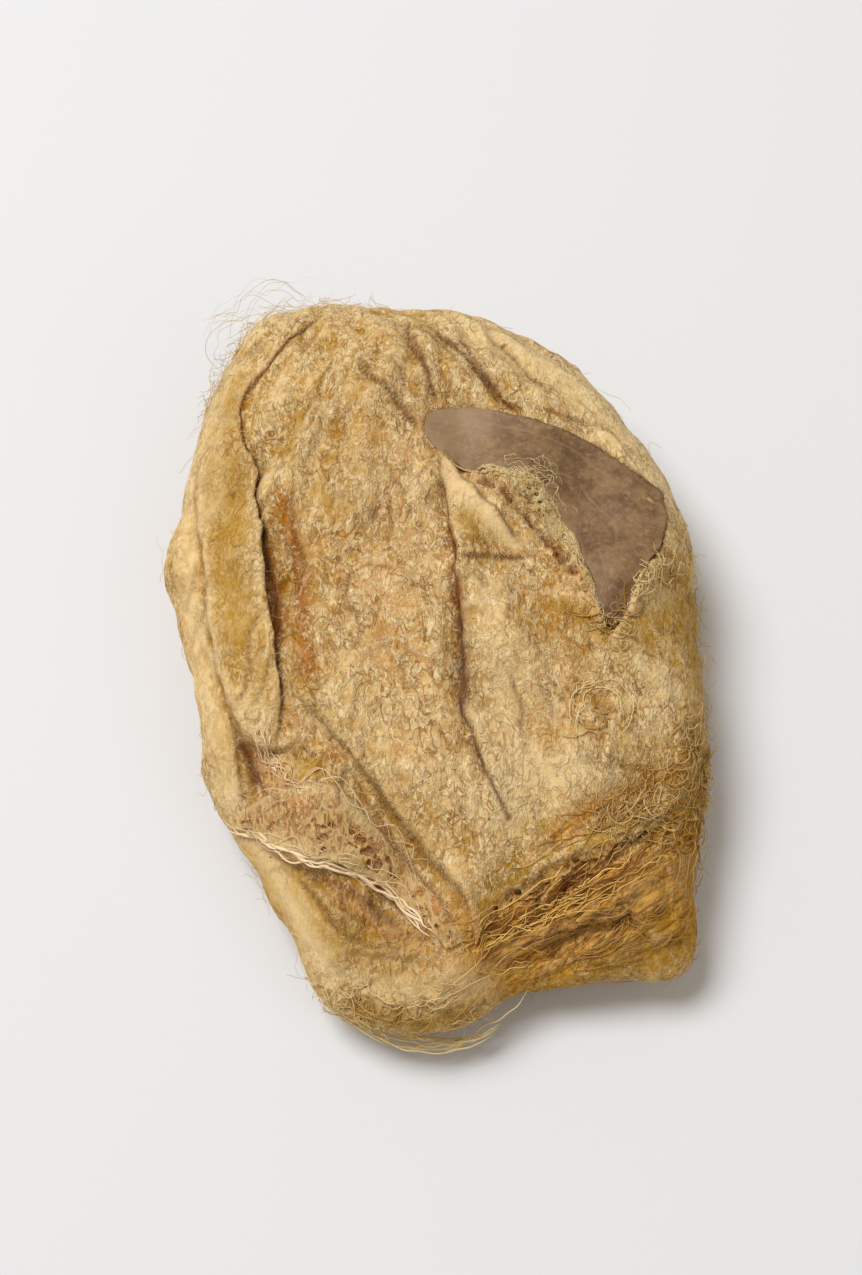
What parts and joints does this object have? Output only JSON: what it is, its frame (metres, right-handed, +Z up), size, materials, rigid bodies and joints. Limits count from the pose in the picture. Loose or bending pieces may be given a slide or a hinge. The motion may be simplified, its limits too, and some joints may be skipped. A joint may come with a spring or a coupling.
{
  "type": "wild silk cocoon",
  "caption": "Crushed wild-silk cocoon, pressed nearly flat, with long folds, a torn frayed mouth and a scrap of dry leaf stuck to its front.",
  "frame": {"origin": "on the surface that it lies on, below the middle of its box", "axes": "+X across the cocoon, +Y from the frayed mouth to the closed end, +Z up, out of the front"},
  "size_m": [0.0388, 0.056, 0.0141],
  "materials": {
    "silk": "matted golden-tan wild silk, papery, with frayed edges",
    "leaf": "dry brown-grey leaf, dull"
  },
  "bodies": {
    "root": {"cocoon_shell": "silk", "leaf_scrap": "leaf"}
  },
  "joints": []
}
